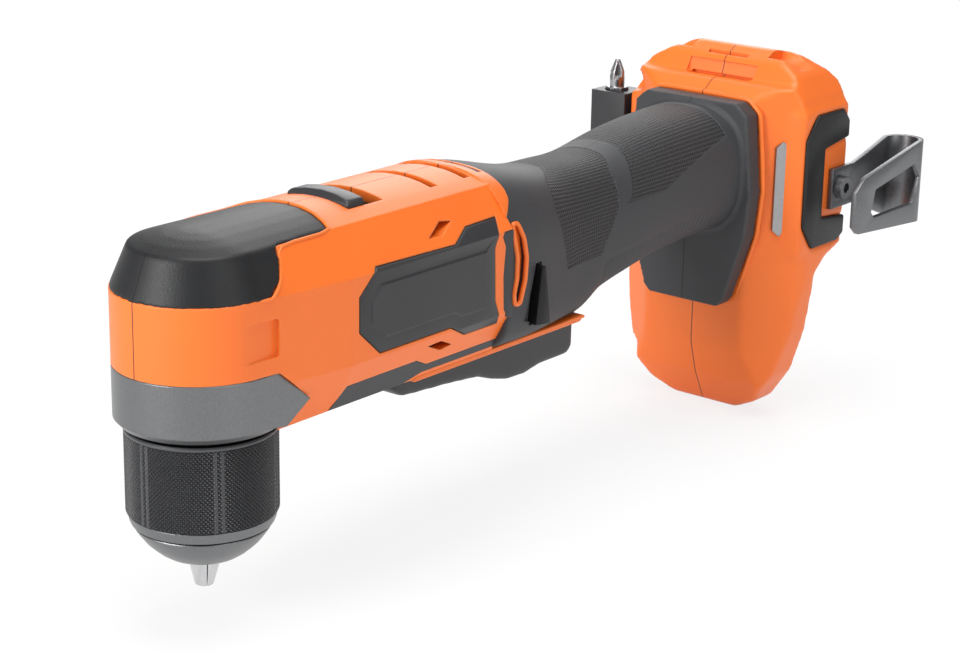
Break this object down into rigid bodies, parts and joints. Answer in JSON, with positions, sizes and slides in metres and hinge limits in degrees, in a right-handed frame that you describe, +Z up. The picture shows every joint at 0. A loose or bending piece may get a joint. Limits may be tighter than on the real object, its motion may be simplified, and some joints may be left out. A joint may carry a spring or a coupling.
{
  "type": "cordless right angle drill",
  "caption": "Cordless right angle drill: keyless chuck under a round head, bevel and planet gears, motor, paddle trigger, gripped handle, and a battery foot with belt clip and bit holder.",
  "frame": {"origin": "centre of the groove between the closed jaws, at their tips", "axes": "+X from the handle to the head along the body, +Y to the left of someone holding it with the chuck down, +Z up along the chuck from its jaws to the head"},
  "size_m": [0.3008, 0.0942, 0.1156],
  "materials": {
    "housing": "fine-grained orange moulding",
    "soft": "matt black overmould",
    "plate": "satin dark plate, bare",
    "badge": "satin grey strip, bare",
    "case": "painted die casting",
    "steel": "ground",
    "jaw": "ground bright",
    "nose": "dark satin",
    "sleeve": "knurled black",
    "black": "black moulding",
    "lamination": "stacked sheet",
    "copper": "enamelled copper",
    "board": "solder resist",
    "lens": "clear",
    "clip": "satin"
  },
  "bodies": {
    "drill": {"housing_left": "housing", "housing_right": "housing", "bumper_left": "soft", "bumper_right": "soft", "grip_left": "soft", "grip_right": "soft", "pad_left": "soft", "pad_right": "soft", "side_plate_left": "plate", "side_plate_right": "plate", "badge_left": "badge", "badge_right": "badge", "gear_case": "case", "gearbox_case": "case", "motor_plate": "case", "spindle_bearing_lower": "steel", "spindle_bearing_upper": "steel", "pinion_bearing": "steel", "rotor_bearing_front": "steel", "rotor_bearing_rear": "steel", "trigger_pin": "steel", "trigger_spring": "steel", "clip_screw": "steel", "holder_screw": "steel", "housing_screws": "steel", "switch_body": "black", "bay_plate": "black", "bit_holder": "black", "stator": "lamination", "windings": "copper", "terminals": "copper", "control_board": "board", "led_board": "board", "led_lens": "lens", "belt_clip": "clip"},
    "chuck": {"spindle": "steel", "bevel_gear": "steel", "chuck_body": "steel", "chuck_nose": "nose"},
    "sleeve": {"chuck_sleeve": "sleeve", "chuck_nut": "steel"},
    "jaw_1": {"jaw_1": "jaw"},
    "jaw_2": {"jaw_2": "jaw"},
    "jaw_3": {"jaw_3": "jaw"},
    "carrier": {"planet_carrier": "steel", "bevel_pinion": "steel"},
    "planet_1": {"planet_gear_1": "steel"},
    "planet_2": {"planet_gear_2": "steel"},
    "planet_3": {"planet_gear_3": "steel"},
    "rotor": {"rotor": "steel", "sun_gear": "steel", "fan": "black"},
    "trigger": {"trigger": "black"},
    "plunger": {"switch_plunger": "black"},
    "direction": {"direction_bar": "black"},
    "speed": {"speed_knob": "black", "shift_fork": "steel", "shift_ring": "steel"},
    "bit": {"driver_bit": "steel"}
  },
  "joints": [
    {"name": "chuck_spin", "type": "hinge", "parent": "drill", "child": "chuck", "pos_m": [0, 0, 0.05], "axis": [0, 0, 1], "continuous": true},
    {"name": "sleeve_turn", "type": "hinge", "parent": "chuck", "child": "sleeve", "pos_m": [0, 0, 0.03], "axis": [0, 0, 1], "range_deg": [0, 4326]},
    {"name": "jaw_slide_1", "type": "slide", "parent": "chuck", "child": "jaw_1", "axis": [0.2756, 0, 0.9613], "range_m": [0, 0.018]},
    {"name": "jaw_slide_2", "type": "slide", "parent": "chuck", "child": "jaw_2", "axis": [-0.1378, 0.2387, 0.9613], "range_m": [0, 0.0181]},
    {"name": "jaw_slide_3", "type": "slide", "parent": "chuck", "child": "jaw_3", "axis": [-0.1378, -0.2387, 0.9613], "range_m": [0, 0.0181]},
    {"name": "carrier_spin", "type": "hinge", "parent": "drill", "child": "carrier", "pos_m": [-0.028, 0, 0.0695], "axis": [1, 0, 0], "continuous": true},
    {"name": "planet_spin_1", "type": "hinge", "parent": "carrier", "child": "planet_1", "pos_m": [-0.038, 0, 0.07827], "axis": [1, 0, 0], "continuous": true},
    {"name": "planet_spin_2", "type": "hinge", "parent": "carrier", "child": "planet_2", "pos_m": [-0.038, -0.0076, 0.06511], "axis": [1, 0, 0], "continuous": true},
    {"name": "planet_spin_3", "type": "hinge", "parent": "carrier", "child": "planet_3", "pos_m": [-0.038, 0.0076, 0.06511], "axis": [1, 0, 0], "continuous": true},
    {"name": "rotor_spin", "type": "hinge", "parent": "drill", "child": "rotor", "pos_m": [-0.07, 0, 0.0695], "axis": [1, 0, 0], "continuous": true},
    {"name": "trigger_pull", "type": "hinge", "parent": "drill", "child": "trigger", "pos_m": [-0.062, 0, 0.0468], "axis": [0, 1, 0], "range_deg": [0, 4], "stiffness_Nm_per_rad": 4, "springref_deg": -4.01},
    {"name": "plunger_slide", "type": "slide", "parent": "drill", "child": "plunger", "axis": [0, 0, 1], "range_m": [0, 0.0043]},
    {"name": "direction_slide", "type": "slide", "parent": "drill", "child": "direction", "axis": [0, 1, 0], "range_m": [-0.0025, 0.0025]},
    {"name": "speed_slide", "type": "slide", "parent": "drill", "child": "speed", "axis": [-1, 0, 0], "range_m": [0, 0.006]},
    {"name": "bit_pull", "type": "slide", "parent": "drill", "child": "bit", "axis": [0, 0, 1], "range_m": [0, 0.012]}
  ],
  "couplings": [
    {"joint": "sleeve_turn", "follows": "jaw_slide_1", "rad_per_m": 4188.8},
    {"joint": "jaw_slide_2", "follows": "jaw_slide_1", "ratio": 1},
    {"joint": "jaw_slide_3", "follows": "jaw_slide_1", "ratio": 1},
    {"joint": "carrier_spin", "follows": "chuck_spin", "ratio": -2.3333},
    {"joint": "planet_spin_1", "follows": "chuck_spin", "ratio": 6.5333},
    {"joint": "planet_spin_2", "follows": "chuck_spin", "ratio": 6.5333},
    {"joint": "planet_spin_3", "follows": "chuck_spin", "ratio": 6.5333},
    {"joint": "rotor_spin", "follows": "chuck_spin", "ratio": -10.5},
    {"joint": "plunger_slide", "follows": "trigger_pull", "m_per_rad": 0.0614}
  ]
}
